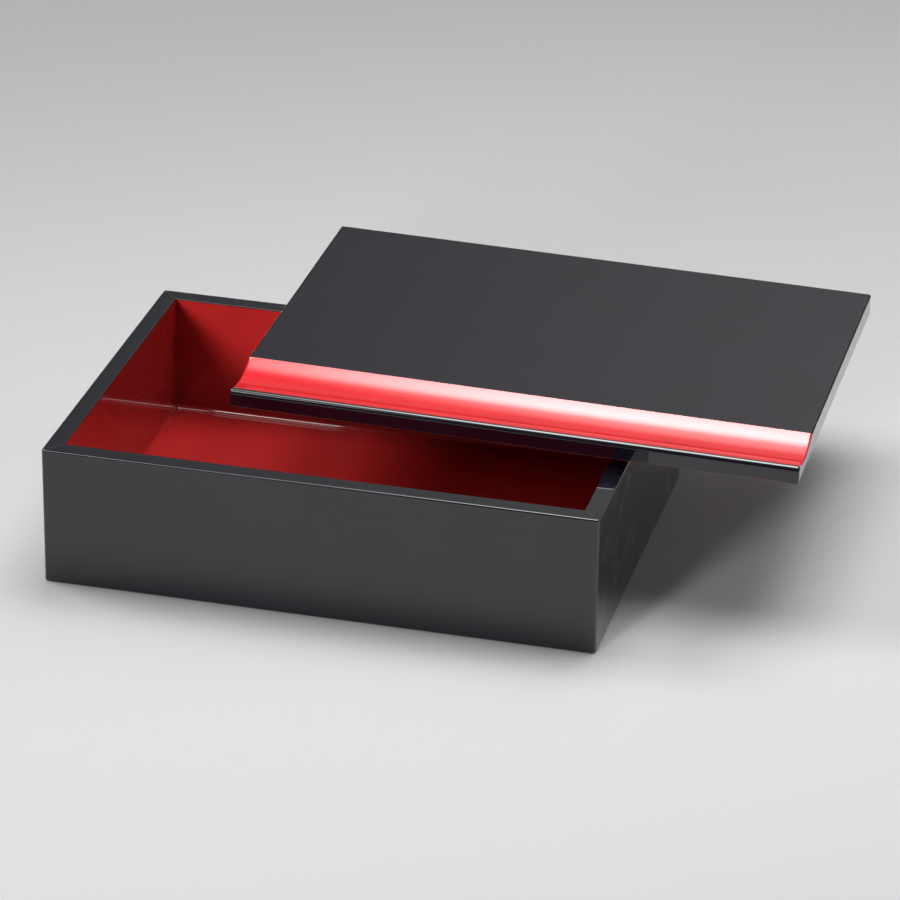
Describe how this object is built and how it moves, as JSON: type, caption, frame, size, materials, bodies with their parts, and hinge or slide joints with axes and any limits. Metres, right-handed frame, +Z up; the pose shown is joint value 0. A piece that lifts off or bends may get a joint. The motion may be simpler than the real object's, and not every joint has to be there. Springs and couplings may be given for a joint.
{
  "type": "bento lunch box",
  "caption": "Low rectangular lacquered wooden food box, black outside and red inside, with a loose lid lying askew on it that has a red finger groove along its front edge.",
  "frame": {"origin": "middle of the box's underside, on the surface that it stands on", "axes": "+X along the long sides to the right, +Y to the back, +Z up"},
  "size_m": [0.3524, 0.2539, 0.0886],
  "materials": {
    "black_lacquer": "polished black lacquer over wood",
    "red_lacquer_coat": "polished cinnabar red lacquer",
    "red_lacquered_wood": "polished cinnabar red lacquer over wood",
    "bare_wood": "bare, hidden inside the joints"
  },
  "bodies": {
    "box": {"front_wall": "black_lacquer", "back_wall": "black_lacquer", "left_wall": "black_lacquer", "right_wall": "black_lacquer", "bottom_board": "black_lacquer", "front_left_corner_tongue": "bare_wood", "front_right_corner_tongue": "bare_wood", "back_left_corner_tongue": "bare_wood", "back_right_corner_tongue": "bare_wood", "bottom_pegs": "bare_wood", "front_inner_lacquer": "red_lacquer_coat", "back_inner_lacquer": "red_lacquer_coat", "left_inner_lacquer": "red_lacquer_coat", "right_inner_lacquer": "red_lacquer_coat", "floor_lacquer": "red_lacquer_coat", "front_floor_fillet": "red_lacquer_coat", "back_floor_fillet": "red_lacquer_coat", "left_floor_fillet": "red_lacquer_coat", "right_floor_fillet": "red_lacquer_coat"},
    "lid": {"lid_board": "black_lacquer", "lid_groove_lacquer": "red_lacquer_coat", "lid_inner_panel": "red_lacquered_wood", "lid_left_batten": "red_lacquered_wood", "lid_right_batten": "red_lacquered_wood", "lid_pegs": "bare_wood"}
  },
  "joints": [
    {"name": "lid_lift", "type": "slide", "parent": "box", "child": "lid", "axis": [0, 0, 1], "range_m": [0, 0.12]}
  ]
}
